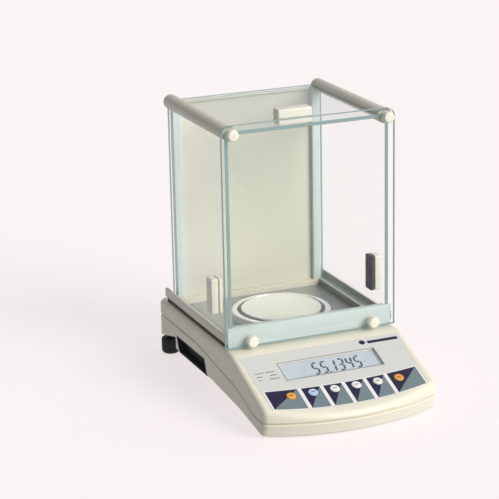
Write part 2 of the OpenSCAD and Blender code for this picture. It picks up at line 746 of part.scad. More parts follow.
module lid_screws() color([0.6, 0.6, 0.62]) for (x = lid_screw_x)
    translate([x, lid_grip_y + handle_d / 2, lid_z - 5.5]) screw(2, 1.3, glass_t + 8);

// A small screw along +Z: its head's height, its shank's radius and its length under the head.
module screw(head, r, len) {
    difference() {
        union() {
            cylinder(r = 2.4, h = head);
            translate([0, 0, head - eps]) cylinder(r = r, h = len);
        }
        translate([0, 0, -1]) cylinder(r = 1.2, h = 2, $fn = 6);
    }
}

lower_housing();
upper_housing();
side_grip(-1);  // left_side_grip
side_grip(1);  // right_side_grip
level_foot(-1);  // left_level_foot
level_foot(1);  // right_level_foot
front_pads();
housing_screws();
keypad_film();
display_lens();
lcd_module();
key_board();
key(0);  // key_1
key(1);  // key_2
key(2);  // key_3
key(3);  // key_4
key(4);  // key_5
key(5);  // key_6
main_board();
power_jack();
data_socket();
level_vial();
floor_plate();
front_bar();
rear_bar();
lower_rail(-1);  // left_lower_rail
lower_rail(1);  // right_lower_rail
slide_strips();
rear_post(-1);  // left_post
rear_post(1);  // right_post
top_rail(-1);  // left_top_rail
top_rail(1);  // right_top_rail
rear_panel();
front_glass();
door_glass(-1);  // left_door_glass
door_handle(-1);  // left_door_handle
door_glass(1);  // right_door_glass
door_handle(1);  // right_door_handle
lid_glass();
lid_handle();
door_screws(-1);  // left_door_screws
door_screws(1);  // right_door_screws
lid_screws();
shield_screws();
clamp_knob(-rail_x, rail_z, glass_t + 14);  // upper_left_knob
clamp_knob(rail_x, rail_z, glass_t + 14);  // upper_right_knob
clamp_knob(-knob_low[0], knob_low[1], glass_t + bar_t - 1);  // lower_left_knob
clamp_knob(knob_low[0], knob_low[1], glass_t + bar_t - 1);  // lower_right_knob
cell_frame();
guide(guide_zs[1]);  // upper_guide
guide(guide_zs[0]);  // lower_guide
load_hanger();
lever();
coil();
magnet_pot();
magnet_core();
position_sensor();
pan_support();
pan();
draft_ring();
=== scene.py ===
"""Looks for the analytical balance.

Lengths below are millimetres in the CAD's frame. MM turns them into metres.
"""

import json
import math

import bmesh
import bpy
from mathutils import Matrix, Vector


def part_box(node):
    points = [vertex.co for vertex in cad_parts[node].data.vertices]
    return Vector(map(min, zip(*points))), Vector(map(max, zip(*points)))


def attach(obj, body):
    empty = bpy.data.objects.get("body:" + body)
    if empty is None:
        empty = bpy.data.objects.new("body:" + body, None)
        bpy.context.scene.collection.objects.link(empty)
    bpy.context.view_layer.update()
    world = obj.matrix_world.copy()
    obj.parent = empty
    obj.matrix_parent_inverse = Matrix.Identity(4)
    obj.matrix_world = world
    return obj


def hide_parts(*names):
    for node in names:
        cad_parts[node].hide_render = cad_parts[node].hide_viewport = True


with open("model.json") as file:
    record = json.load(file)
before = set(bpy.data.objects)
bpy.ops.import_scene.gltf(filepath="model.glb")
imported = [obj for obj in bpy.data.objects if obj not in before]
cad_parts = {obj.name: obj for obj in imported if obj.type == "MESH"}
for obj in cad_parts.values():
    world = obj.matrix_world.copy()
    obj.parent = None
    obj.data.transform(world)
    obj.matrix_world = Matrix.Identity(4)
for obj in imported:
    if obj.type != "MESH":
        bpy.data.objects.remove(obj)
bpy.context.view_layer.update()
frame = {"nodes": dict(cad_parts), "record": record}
MM = 0.001
RECORD = frame["record"]
BODY_OF = {n: b for b, nodes in RECORD["behaviour"]["bodies"].items() for n in nodes}
SLOT_OF = {s["node"]: s["material_slot"] for s in RECORD["subparts"]}


def box(node):
    """Lowest and highest corner of a CAD node, in millimetres."""
    low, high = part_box(node)
    return low / MM, high / MM


# Driving sizes, read from the frame where it holds them. The bow is how far the front edge curves out,
# and the seam is left a little wider than in the CAD, so that it shows as a groove.
SHELL_LOW, SHELL_HIGH = box("upper_housing")
HALF = SHELL_HIGH.x
Y_BACK = SHELL_HIGH.y
Y_APEX = SHELL_LOW.y
DECK_Z = SHELL_HIGH.z
BOW = 23
CORNER_R = 9
WALL = 2.5
SEAM_GAP = 1.5
# how far an extra ring of points stands from a fillet, so that the wall beside it shades flat
KEEP_FLAT = 0.3
SLOPE = math.radians(20.2)
KEY_Y, KEY_Z = -128, 38.2
KEYS = [f"key_{i + 1}" for i in range(6)]
KEY_HOLE_R = 5.6
FILM_T = 0.6
# The seam's and the hem's heights as (y, z) points. Both runs go past the base's rear and its front.
RUN_REAR, RUN_FRONT = 200, -172
SEAM = [(RUN_REAR, 47), (45, 47), (-72, 33), (-117, 18), (RUN_FRONT, 18)]
HEM = [(RUN_REAR, 18), (10, 18), (-74, 12), (-142, 1.5), (RUN_FRONT, 1.5)]
# how far along Y the corners of those runs, and of the top surface, are averaged to each side
RUN_REACH, KNEE_REACH = 12, 3
# the rounding of each housing's edge at the seam
RIM = 1.3
PAN_Y = (box("pan")[0].y + box("pan")[1].y) / 2
# Where a prism's local X, Y and Z go: Z along the part's Y, with the outline in (x, z), or Z along its X,
# with the outline in (y, z).
ALONG_Y = Matrix(((1, 0, 0, 0), (0, 0, 1, 0), (0, 1, 0, 0), (0, 0, 0, 1)))
ALONG_X = Matrix(((0, 0, 1, 0), (1, 0, 0, 0), (0, 1, 0, 0), (0, 0, 0, 1)))


# ---------------------------------------------------------------- materials

def linear(rgb):
    """An sRGB colour as the linear one that shaders take."""
    return tuple(c / 12.92 if c <= 0.04045 else ((c + 0.055) / 1.055) ** 2.4 for c in rgb)


class Paint:
    """A Principled material being built, with helpers for the nodes that feed it."""

    def __init__(self, name, rgb, roughness, **sockets):
        self.material = bpy.data.materials.new(name)
        self.material.use_nodes = True
        self.tree = self.material.node_tree
        self.shader = self.tree.nodes["Principled BSDF"]
        self.rgb = linear(rgb)
        self.shader.inputs["Base Color"].default_value = (*self.rgb, 1)
        self.shader.inputs["Roughness"].default_value = roughness
        for socket, value in sockets.items():
            self.shader.inputs[socket.replace("_", " ")].default_value = value

    def noise(self, scale, detail=2.0, stretch=(1, 1, 1)):
        coords = self.tree.nodes.new("ShaderNodeTexCoord")
        mapping = self.tree.nodes.new("ShaderNodeMapping")
        mapping.inputs["Scale"].default_value = stretch
        texture = self.tree.nodes.new("ShaderNodeTexNoise")
        texture.inputs["Scale"].default_value = scale
        texture.inputs["Detail"].default_value = detail
        self.tree.links.new(coords.outputs["Object"], mapping.inputs["Vector"])
        self.tree.links.new(mapping.outputs["Vector"], texture.inputs["Vector"])
        return texture.outputs["Fac"]

    def spread(self, source, low, high):
        """source, from 0.3 to 0.7, mapped to the range from low to high."""
        node = self.tree.nodes.new("ShaderNodeMapRange")
        node.inputs["From Min"].default_value = 0.3
        node.inputs["From Max"].default_value = 0.7
        node.inputs["To Min"].default_value = low
        node.inputs["To Max"].default_value = high
        self.tree.links.new(source, node.inputs["Value"])
        return node.outputs["Result"]

    def tint(self, source, darker):
        """Varies the colour by source, down to the share darker of it."""
        mix = self.tree.nodes.new("ShaderNodeMix")
        mix.data_type = "RGBA"
        mix.inputs["A"].default_value = (*[c * darker for c in self.rgb], 1)
        mix.inputs["B"].default_value = (*self.rgb, 1)
        self.tree.links.new(self.spread(source, 0, 1), mix.inputs["Factor"])
        self.tree.links.new(mix.outputs["Result"], self.shader.inputs["Base Color"])
        return self

    def roughen(self, source, low, high):
        self.tree.links.new(self.spread(source, low, high), self.shader.inputs["Roughness"])
        return self

    def bump(self, source, depth_mm):
        node = self.tree.nodes.new("ShaderNodeBump")
        node.inputs["Distance"].default_value = depth_mm * MM
        node.inputs["Strength"].default_value = 1.0
        self.tree.links.new(source, node.inputs["Height"])
        self.tree.links.new(node.outputs["Normal"], self.shader.inputs["Normal"])
        return self


def moulded(name, rgb, roughness=0.42, grain=0.012, **sockets):
    """Injection-moulded plastic: fine spark grain, slight colour and gloss variation."""
    paint = Paint(name, rgb, roughness, **sockets)
    paint.tint(paint.noise(28, 3), 0.975)
    paint.roughen(paint.noise(160, 3), roughness - 0.05, roughness + 0.06)
    return paint.bump(paint.noise(2600, 2), grain).material


def painted(name, rgb, roughness=0.35):
    """Satin powder paint on metal, with a faint orange-peel."""
    paint = Paint(name, rgb, roughness)
    paint.tint(paint.noise(35, 3), 0.965)
    paint.roughen(paint.noise(220, 2), roughness - 0.05, roughness + 0.08)
    return paint.bump(paint.noise(2400, 1), 0.006).material


def metal(name, rgb, roughness, grain=(1, 1, 1), depth=0.003, darker=0.9, metallic=1.0, **sockets):
    """Bare metal, brushed along the axis where grain is small."""
    paint = Paint(name, rgb, roughness, Metallic=metallic, **sockets)
    lines = paint.noise(1400, 3, grain)
    paint.tint(paint.noise(30, 3), darker)
    paint.roughen(lines, max(0.03, roughness - 0.06), roughness + 0.08)
    return paint.bump(lines, depth).material


def see_through(name, rgb, roughness, ior=1.5):
    """Clear glass that lets lamps and bounced light through."""
    paint = Paint(name, rgb, roughness, Transmission_Weight=1.0, IOR=ior)
    tree = paint.tree
    paint.bump(paint.noise(9, 1), 0.004)
    rays = tree.nodes.new("ShaderNodeLightPath")
    either = tree.nodes.new("ShaderNodeMath")
    either.operation = "MAXIMUM"
    clear = tree.nodes.new("ShaderNodeBsdfTransparent")
    clear.inputs["Color"].default_value = (*linear(rgb), 1)
    mix = tree.nodes.new("ShaderNodeMixShader")
    tree.links.new(rays.outputs["Is Shadow Ray"], either.inputs[0])
    tree.links.new(rays.outputs["Is Diffuse Ray"], either.inputs[1])
    tree.links.new(either.outputs["Value"], mix.inputs["Fac"])
    tree.links.new(paint.shader.outputs["BSDF"], mix.inputs[1])
    tree.links.new(clear.outputs["BSDF"], mix.inputs[2])
    tree.links.new(mix.outputs["Shader"], tree.nodes["Material Output"].inputs["Surface"])
    return paint.material


MATERIALS = {
    "housing_cream": moulded("housing_cream", (0.945, 0.93, 0.855)),
    "grip_black": moulded("grip_black", (0.135, 0.14, 0.16), 0.65, 0.02, Specular_IOR_Level=0.35),
    "foot_black": moulded("foot_black", (0.085, 0.09, 0.105), 0.5, 0.01, Specular_IOR_Level=0.35),
    "pad_rubber": moulded("pad_rubber", (0.13, 0.13, 0.13), 0.8, 0.03),
    "screw_steel": metal("screw_steel", (0.66, 0.66, 0.68), 0.28),
    "film_grey": moulded("film_grey", (0.87, 0.875, 0.855), 0.33, 0.006),
    "lens_clear": see_through("lens_clear", (0.97, 0.98, 1.0), 0.02),
    "lcd_glass": moulded("lcd_glass", (0.90, 0.91, 0.90), 0.3, 0.003),
    "board_green": moulded("board_green", (0.12, 0.40, 0.24), 0.35, 0.01),
    "key_orange": moulded("key_orange", (0.93, 0.66, 0.26), 0.34, 0.004),
    "key_blue": moulded("key_blue", (0.72, 0.84, 0.95), 0.34, 0.004),
    "key_white": moulded("key_white", (0.95, 0.95, 0.94), 0.34, 0.004),
    "jack_black": moulded("jack_black", (0.12, 0.12, 0.13), 0.4, 0.01),
    "socket_metal": metal("socket_metal", (0.70, 0.70, 0.71), 0.3),
    "vial_clear": moulded("vial_clear", (0.78, 0.88, 0.42), 0.12, 0.001),
    "floor_steel": metal("floor_steel", (0.68, 0.70, 0.70), 0.32, (1, 0.03, 1), 0.0006, 0.97, 0.45),
    "bar_aluminium": painted("bar_aluminium", (0.83, 0.88, 0.87), 0.4),
    "rail_cream": painted("rail_cream", (0.86, 0.845, 0.78), 0.36),
    "strip_white": moulded("strip_white", (0.93, 0.93, 0.90), 0.45, 0.004),
    "panel_cream": painted("panel_cream", (0.865, 0.865, 0.80), 0.5),
    "shield_glass": see_through("shield_glass", (0.995, 0.998, 0.997), 0.0, ior=1.18),
    "handle_cream": moulded("handle_cream", (0.94, 0.935, 0.87), 0.34, 0.006),
    "knob_cream": moulded("knob_cream", (0.96, 0.95, 0.88), 0.34, 0.006),
    "cell_aluminium": metal("cell_aluminium", (0.76, 0.77, 0.79), 0.35, (1, 0.1, 1)),
    "coil_copper": metal("coil_copper", (0.72, 0.42, 0.25), 0.35, (1, 1, 0.02), 0.02),
    "magnet_iron": metal("magnet_iron", (0.42, 0.42, 0.44), 0.45),
    # the pan's and the draft ring's steel glows a little of its own: painted light that brightens them
    "pan_steel": metal("pan_steel", (0.97, 0.97, 0.97), 0.17, (1, 1, 1), 0.0015, 0.97, 0.8,
                       Emission_Color=(0.06, 0.06, 0.06, 1), Emission_Strength=1.0),
}
# the panes' edges glow a little of their own: painted light that brightens them
GLOWING_GLASS_EDGE = Paint("glass_edge_glowing", (0.47, 0.56, 0.55), 0.2,
                   Emission_Color=(0.10, 0.13, 0.128, 1), Emission_Strength=1.0)
GLOWING_GLASS_EDGE.tint(GLOWING_GLASS_EDGE.noise(12, 3), 0.9).bump(GLOWING_GLASS_EDGE.noise(500, 1), 0.01)
# the right door handle's inner half is dark: painted shade on the side that faces into the chamber
HANDLE_SHADE = moulded("handle_painted_shade", (0.27, 0.26, 0.32), 0.4, 0.01)
NAVY = moulded("print_navy", (0.10, 0.065, 0.25), 0.33, 0.004)
SLATE = moulded("print_slate", (0.47, 0.54, 0.56), 0.33, 0.004)
WHITE = moulded("print_white", (0.965, 0.955, 0.955), 0.33, 0.004)
GREY = moulded("print_grey", (0.40, 0.41, 0.42), 0.33, 0.004)
SEGMENT = moulded("lcd_segment", (0.30, 0.31, 0.33), 0.4, 0.002)
KEY_MARK = moulded("key_mark", (0.32, 0.26, 0.24), 0.4, 0.002)
RAIL_INNER = painted("rail_inner_grey", (0.52, 0.54, 0.53), 0.4)
# a dark strip under each lower rail's outer lip: painted shade in the gap there
RAIL_GAP_SHADE = moulded("rail_gap_painted_shade", (0.22, 0.21, 0.16), 0.7, 0.02)


# ---------------------------------------------------------------- mesh helpers

def piece_from(bm, name, nodes=(), materials=(), body=None, smooth_angle=32):
    """Turns a bmesh in millimetres into a finished piece that stands for some CAD nodes."""
    bmesh.ops.recalc_face_normals(bm, faces=bm.faces)
    bmesh.ops.scale(bm, vec=(MM, MM, MM), verts=bm.verts)
    mesh = bpy.data.meshes.new(name)
    bm.to_mesh(mesh)
    bm.free()
    mesh.shade_smooth()
    mesh.set_sharp_from_angle(angle=math.radians(smooth_angle))
    for material in materials:
        mesh.materials.append(material)
    piece = bpy.data.objects.new(name, mesh)
    bpy.context.scene.collection.objects.link(piece)
    nodes = list(nodes)
    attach(piece, body or BODY_OF[nodes[0]])
    if nodes:
        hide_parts(*nodes)
    return piece


def cad_mesh(node):
    """A CAD node's mesh in millimetres, welded and with its flat faces joined again."""
    bm = bmesh.new()
    bm.from_mesh(frame["nodes"][node].data)
    bmesh.ops.scale(bm, vec=(1 / MM, 1 / MM, 1 / MM), verts=bm.verts)
    bmesh.ops.remove_doubles(bm, verts=bm.verts, dist=0.002)
    bmesh.ops.dissolve_limit(bm, angle_limit=math.radians(0.5), verts=bm.verts, edges=bm.edges)
    return bm


def soften(bm, radius, segments=3, angle=35):
    """Rounds every edge that is sharper than angle."""
    sharp = [e for e in bm.edges if len(e.link_faces) == 2 and e.calc_face_angle(0) > math.radians(angle)]
    bmesh.ops.bevel(bm, geom=sharp, offset=radius, offset_type="OFFSET", segments=segments, profile=0.5,
                    affect="EDGES", clamp_overlap=True)
    return bm


def softened(node, radius):
    """A rounded piece in place of a CAD node."""
    return piece_from(soften(cad_mesh(node), radius), "fine_" + node, [node], [MATERIALS[SLOT_OF[node]]])


def pane(node, thin_axis, corner=0.0):
    """A glass pane with arrised edges, in place of a CAD node. Its upper corners may be rounded."""
    low, high = box(node)
    wide, tall = (axis for axis in (0, 1, 2) if axis != thin_axis)
    if corner:
        x, z, r = high[wide], high[tall], corner
        outline = [(-x, low[tall]), (x, low[tall])]
        outline += arc((x - r, z - r), r, 0, 90, 16)
        outline += arc((r - x, z - r), r, 90, 180, 16)
    else:
        outline = rectangle(low[wide], low[tall], high[wide], high[tall])
    bm = prism(outline, low[thin_axis], high[thin_axis])
    for vert in bm.verts:
        spot = [0.0, 0.0, 0.0]
        spot[wide], spot[tall], spot[thin_axis] = vert.co
        vert.co = spot
    bmesh.ops.recalc_face_normals(bm, faces=bm.faces)
    soften(bm, 0.45, 1, 40)
    for face in bm.faces:
        face.material_index = 0 if abs(face.normal[thin_axis]) > 0.95 else 1
    return piece_from(bm, "fine_" + node, [node], [MATERIALS["shield_glass"], GLOWING_GLASS_EDGE.material])


def lathe(profile, centre, segments=128):
    """A solid of revolution about a vertical line: profile holds (radius, height) points, axis to axis."""
    bm = bmesh.new()
    verts = [bm.verts.new((r, 0, z)) for r, z in profile]
    edges = [bm.edges.new(pair) for pair in zip(verts, verts[1:])]
    bmesh.ops.spin(bm, geom=verts + edges, cent=(0, 0, 0), axis=(0, 0, 1), angle=2 * math.pi, steps=segments)
    bmesh.ops.remove_doubles(bm, verts=bm.verts, dist=0.0005)
    bmesh.ops.translate(bm, vec=centre, verts=bm.verts)
    return bm


def arc(centre, radius, start, end, steps):
    """Points on an arc, angles in degrees."""
    turns = [math.radians(start + (end - start) * i / steps) for i in range(steps + 1)]
    return [(centre[0] + radius * math.cos(t), centre[1] + radius * math.sin(t)) for t in turns]


def prism(points, low, high, place=None):
    """A solid from an outline in local X and Y, from low to high in local Z."""
    bm = bmesh.new()
    face = bm.faces.new([bm.verts.new((x, y, low)) for x, y in points])
    made = bmesh.ops.extrude_face_region(bm, geom=[face])
    top = [v for v in made["geom"] if isinstance(v, bmesh.types.BMVert)]
    bmesh.ops.translate(bm, vec=(0, 0, high - low), verts=top)
    if place:
        bm.transform(place)
    # a place that mirrors would leave the solid inside out, so the normals come last
    bmesh.ops.recalc_face_normals(bm, faces=bm.faces)
    return bm


def joined(parts):
    """One bmesh from several."""
    whole = bmesh.new()
    for part in parts:
        mesh = bpy.data.meshes.new("part")
        part.to_mesh(mesh)
        part.free()
        whole.from_mesh(mesh)
        bpy.data.meshes.remove(mesh)
    return whole


def cut(bm, cutters):
    """Takes closed cutters that don't touch each other out of a closed mesh."""
    objects = []
    for name, source in (("blank", bm), ("cutters", joined(cutters))):
        mesh = bpy.data.meshes.new(name)
        source.to_mesh(mesh)
        source.free()
        objects.append(bpy.data.objects.new(name, mesh))
        bpy.context.scene.collection.objects.link(objects[-1])
    modifier = objects[0].modifiers.new("cut", "BOOLEAN")
    modifier.object = objects[1]
    modifier.operation = "DIFFERENCE"
    modifier.solver = "EXACT"
    evaluated = objects[0].evaluated_get(bpy.context.evaluated_depsgraph_get())
    result = bmesh.new()
    result.from_mesh(evaluated.to_mesh())
    for thing in objects:
        mesh = thing.data
        bpy.data.objects.remove(thing)
        bpy.data.meshes.remove(mesh)
    return result


def circle(x, y, radius, steps=48):
    return arc((x, y), radius, 0, 360, steps)[:-1]


def rectangle(x0, y0, x1, y1):
    return [(x0, y0), (x1, y0), (x1, y1), (x0, y1)]


# ---------------------------------------------------------------- housings

def run_height(points, y, reach):
    """Height along a run of (y, z) points, averaged over reach on each side so that its corners are soft."""
    def straight(at):
        for (y0, z0), (y1, z1) in zip(points, points[1:]):
            if y1 <= at <= y0:
                return z0 + (z1 - z0) * (y0 - at) / (y0 - y1)
        return points[0][1] if at > points[0][0] else points[-1][1]
    steps = 16
    return sum(straight(y + reach * (2 * (i + 0.5) / steps - 1)) for i in range(steps)) / steps


def face_height(y):
    return KEY_Z + math.tan(SLOPE) * (y - KEY_Y)


def top_height(y):
    knee = KEY_Y + (DECK_Z - KEY_Z) / math.tan(SLOPE)
    surface = [(RUN_REAR, DECK_Z), (knee, DECK_Z), (RUN_FRONT, face_height(RUN_FRONT))]
    return run_height(surface, y, KNEE_REACH)


def half_outline(inset):
    """The right half of the base's outline from above, from mid-rear round to mid-front."""
    half = HALF - inset
    r = max(CORNER_R - inset, 0.6)
    front_r = (HALF ** 2 + BOW ** 2) / (2 * BOW) - inset
    front_c = Y_APEX + front_r + inset
    back = Y_BACK - inset
    cx = half - r
    cy = front_c - math.sqrt((front_r - r) ** 2 - cx ** 2)
    tilt = math.degrees(math.atan2(cx, front_c - cy))
    rear = [(cx * i / 4, back) for i in range(4)]
    corner = arc((cx, back - r), r, 90, 0, 8)
    side = [(half, back - r + (cy - back + r) * i / 64) for i in range(1, 64)]
    small = arc((cx, cy), r, 360, 270 + tilt, 8)
    front = arc((0, front_c), front_r, 270 + tilt, 270, 24)[1:]
    return rear + corner + side + small + front


def loft(rings):
    """A solid from rings of (outline half, height function). Faces across it close both ends."""
    bm = bmesh.new()
    grid = []
    for half, height in rings:
        right = [bm.verts.new((x, y, height(x, y))) for x, y in half]
        left = [bm.verts.new((-x, y, height(x, y))) for x, y in half[1:-1]]
        grid.append((right, [right[0], *left, right[-1]]))
    for (r0, l0), (r1, l1) in zip(grid, grid[1:]):
        for a, b in ((r0, r1), (l1, l0)):
            for i in range(len(a) - 1):
                bm.faces.new((a[i], a[i + 1], b[i + 1], b[i]))
    for right, left in (grid[0], grid[-1]):
        for i in range(len(right) - 1):
            corners = list(dict.fromkeys((right[i], right[i + 1], left[i + 1], left[i])))
            bm.faces.new(corners)
    bmesh.ops.recalc_face_normals(bm, faces=bm.faces)
    return bm


def on_face(x=0, s=0, out=0):
    """The console's plane: local X across, Y up the slope, Z out of the face."""
    return (Matrix.Translation((0, KEY_Y, KEY_Z)) @ Matrix.Rotation(SLOPE, 4, "X")
            @ Matrix.Translation((x, s, out)))


def film_outline(grow):
    top_s, top_half = 71.5 + grow, 94 + grow
    low_half, low_s, sag = 91 + grow, -14 - grow, 13
    r = (low_half ** 2 + sag ** 2) / (2 * sag)
    swing = math.degrees(math.asin(low_half / r))
    bowed = arc((0, low_s - sag + r), r, 270 - swing, 270 + swing, 40)
    return [(top_half, top_s), (-top_half, top_s), *bowed]


def key_place(node):
    """(x, s) of a key on the console's plane."""
    low, high = box(node)
    middle = (low + high) / 2
    return middle.x, (middle.y - KEY_Y) * math.cos(SLOPE) + (middle.z - KEY_Z) * math.sin(SLOPE)


KEY_AT = [key_place(node) for node in KEYS]
# the display window's width and height, and its middle up the slope
LCD = (113.4, 27.8, 39.5)
PAN_HOLE_R, VIAL_HOLE_R = 12, 8.1


def build_upper_housing():
    fillet = 5.5
    lift = SEAM_GAP / 2

    def seam(dz):
        return lambda x, y: run_height(SEAM, y, RUN_REACH) + lift + dz

    def top(dz):
        return lambda x, y: top_height(y) - dz

    def blend_down(inset, drop):
        return half_outline(inset), top(drop)

    rings = [(half_outline(WALL + 3), top(WALL)), (half_outline(WALL), top(WALL + 3))]
    rings += [(half_outline(WALL), seam(0)), (half_outline(RIM), seam(0)),
              (half_outline(RIM * 0.3), seam(RIM * 0.3)), (half_outline(0), seam(RIM)),
              (half_outline(0), seam(RIM + 0.1))]

    def shoulder(x, y):
        return max(top_height(y) - fillet - KEEP_FLAT, seam(RIM + 0.2)(x, y))

    rings.append((half_outline(0), shoulder))
    for i in range(9):
        angle = math.radians(90 * i / 8)
        rings.append(blend_down(fillet * (1 - math.cos(angle)), fillet * (1 - math.sin(angle))))
    rings.append(blend_down(fillet + 0.4, 0))
    blank = loft(rings)

    w, h, s = LCD
    film_bed = prism(film_outline(0.25), -FILM_T, 8, on_face())
    window = prism(rectangle(-w / 2 + 1, -h / 2 + 1, w / 2 - 1, h / 2 - 1), -9, 0, on_face(0, s))
    seat = prism(rectangle(-w / 2 - 2, -h / 2 - 2, w / 2 + 2, h / 2 + 2), -2, 0.5, on_face(0, s))
    for cutter in (film_bed, seat, window):
        blank = cut(blank, [cutter])
    keys = [prism(circle(0, 0, KEY_HOLE_R), -7, 2, on_face(x, ks)) for x, ks in KEY_AT]
    vial_low, vial_high = box("level_vial")
    vial = (vial_low + vial_high) / 2
    round_holes = [prism(circle(x, y, r), DECK_Z - 9, DECK_Z + 2)
                   for x, y, r in ((0, PAN_Y, PAN_HOLE_R), (vial.x, vial.y, VIAL_HOLE_R))]
    return piece_from(cut(blank, keys + round_holes), "console_and_deck", ["upper_housing"],
                      [MATERIALS["housing_cream"]], smooth_angle=28)


# The room round a rear foot, and the recess for a side grip, both as (y, z) points.
FOOT_ROOM = [(111, 0), (111, 33.5), (150, 24), (180, 19.5), (180, 0)]
GRIP_POCKET = [(98.2, 12), (108.7, 36.7), (21.8, 36.7), (11.3, 12)]
FOOT_ROOM_X = 79.5
# the right-hand screw holes in the underside: x, y, and the height that each one reaches
HOUSING_SCREWS = ((84.5, 96, 24), (84, -22, 24), (46, -138, 10))
SCREW_HOLE_R = 3.2
# the openings in the rear wall: the data socket's half sizes, and its two screw holes beside it
JACK_HOLE_R = 5.6
SOCKET_X, SOCKET_Z = 10, 5.4
SOCKET_SCREW_X, SOCKET_SCREW_R = 12.5, 2.4


def foot_liner(side, foot):
    """Ceiling, front wall and inner wall of the room that a rear foot turns in, and the boss above it."""
    reach = HALF - WALL + 0.1
    back = Y_BACK - WALL + 0.1
    ceiling = [(111, 18.3), (111, 33.5), (150, 24), (back, 22.1),
               (back, 28.3), (150, 27.5), (108.8, 35.7), (108.8, 18.3)]
    wall = [(108.8, 18.3), (back, 18.3), (back, 28.3), (150, 27.5), (108.8, 35.7)]
    roof = prism(ceiling, *sorted((side * FOOT_ROOM_X, side * reach)), ALONG_X)
    cleared = bmesh.ops.bisect_plane(roof, geom=[*roof.verts, *roof.edges, *roof.faces], clear_outer=True,
                                     plane_co=(side * reach, Y_BACK - 6.2, 0), plane_no=(side, 1, 0))
    rim = [e for e in cleared["geom_cut"] if isinstance(e, bmesh.types.BMEdge)]
    bmesh.ops.contextual_create(roof, geom=rim)
    sheet = prism(wall, *sorted((side * (FOOT_ROOM_X - 2.2), side * (FOOT_ROOM_X + 0.02))), ALONG_X)
    ring = [(3.6, 23.4), (7, 25), (7, 38), (3.6, 38), (3.6, 23.4)]
    return joined([roof, sheet, lathe(ring, (foot.x, foot.y, 0), 48)])


def build_lower_housing():
    taper = 5.0
    round_r = 3.0

    def drawn_in(half, share):
        """The front of the outline moved back by its share of the taper."""
        start, full = -95.0, -140.0
        moved = []
        for x, y in half:
            t = min(max((start - y) / (start - full), 0), 1)
            moved.append((x, y + taper * share * t * t * (3 - 2 * t)))
        return moved

    def seam(dz):
        return lambda x, y: run_height(SEAM, y, RUN_REACH) - SEAM_GAP / 2 + dz

    def hem(dz):
        return lambda x, y: run_height(HEM, y, RUN_REACH) + dz

    rings = [(drawn_in(half_outline(WALL + 1.75), 1), hem(WALL)), (half_outline(WALL + 1.75), seam(3)),
             (half_outline(WALL + 0.25), seam(3)), (half_outline(WALL + 0.25), seam(0)),
             (half_outline(RIM), seam(0)), (half_outline(RIM * 0.3), seam(-RIM * 0.3)),
             (half_outline(0), seam(-RIM)), (half_outline(0), seam(-RIM - KEEP_FLAT)),
             (drawn_in(half_outline(0), 1), hem(round_r + KEEP_FLAT))]
    for i in range(7):
        angle = math.radians(90 * i / 6)
        inset, rise = round_r * (1 - math.cos(angle)), round_r * (1 - math.sin(angle))
        rings.append((drawn_in(half_outline(inset), 1), hem(rise)))
    rings.append((drawn_in(half_outline(round_r + 0.4), 1), hem(0)))
    blank = loft(rings)

    cutters = []
    liners = []
    for side in (-1, 1):
        grip_low, grip_high = box("left_side_grip" if side < 0 else "right_side_grip")
        foot_low, foot_high = box("left_level_foot" if side < 0 else "right_level_foot")
        inner = min(abs(grip_low.x), abs(grip_high.x)) - 0.2
        cutters.append(prism(GRIP_POCKET, *sorted((side * inner, side * (HALF + 5))), ALONG_X))
        cutters.append(prism(FOOT_ROOM, *sorted((side * FOOT_ROOM_X, side * (HALF + 8))), ALONG_X))
        foot = (foot_low + foot_high) / 2
        liners.append(foot_liner(side, foot))
        for x, y, top in HOUSING_SCREWS:
            cutters.append(prism(circle(side * x, y, SCREW_HOLE_R, 32), -2, top))
    jack = sum(box("power_jack"), Vector()) / 2
    socket = sum(box("data_socket"), Vector()) / 2
    rear_holes = [circle(jack.x, jack.z, JACK_HOLE_R),
                  rectangle(socket.x - SOCKET_X, socket.z - SOCKET_Z,
                            socket.x + SOCKET_X, socket.z + SOCKET_Z)]
    for dx in (-SOCKET_SCREW_X, SOCKET_SCREW_X):
        rear_holes.append(circle(socket.x + dx, socket.z, SOCKET_SCREW_R, 32))
    cutters += [prism(hole, Y_BACK - 9, Y_BACK + 4, ALONG_Y) for hole in rear_holes]
    tray = joined([cut(blank, cutters), *liners])
    return piece_from(tray, "base_tray", ["lower_housing"], [MATERIALS["housing_cream"]], smooth_angle=28)


# ---------------------------------------------------------------- console film and display

def flat_sheet(outlines, out, thickness=0.0):
    """A flat sheet on the console's face. The first outline is its edge and the others are holes."""
    bm = bmesh.new()
    edges = []
    for outline in outlines:
        verts = [bm.verts.new((x, y, 0)) for x, y in outline]
        edges += [bm.edges.new(pair) for pair in zip(verts, verts[1:] + verts[:1])]
    bmesh.ops.triangle_fill(bm, use_beauty=True, use_dissolve=False, edges=edges)
    if thickness:
        made = bmesh.ops.extrude_face_region(bm, geom=list(bm.faces))
        top = [v for v in made["geom"] if isinstance(v, bmesh.types.BMVert)]
        bmesh.ops.translate(bm, vec=(0, 0, thickness), verts=top)
    bm.transform(on_face(0, 0, out))
    return bm


def build_film():
    w, h, s = LCD
    window = rectangle(-w / 2, s - h / 2, w / 2, s + h / 2)
    holes = [circle(x, ks, KEY_HOLE_R) for x, ks in KEY_AT]
    film = flat_sheet([film_outline(0), window, *holes], -FILM_T, FILM_T)
    piece_from(film, "console_film", ["keypad_film"], [MATERIALS["film_grey"]])


# nearest and farthest edge of each printed field, as distances from the console's middle
FIELD_EDGES = ((2.1, 23.0), (27.2, 48.1), (52.3, 88.0))
# how far print stands on the film
PRINTED = 0.02


# the curved edges of the printed fields: Y at the console's middle, and a larger number for a flatter curve
FIELD_TOP_Y, FIELD_TOP_FLAT = -120.7, 1500
FIELD_LOW_Y, FIELD_LOW_FLAT = -151.9, 800


def field_top(x):
    return (FIELD_TOP_Y + x * x / FIELD_TOP_FLAT - KEY_Y) / math.cos(SLOPE)


def field_low(x):
    return (FIELD_LOW_Y + x * x / FIELD_LOW_FLAT - KEY_Y) / math.cos(SLOPE)


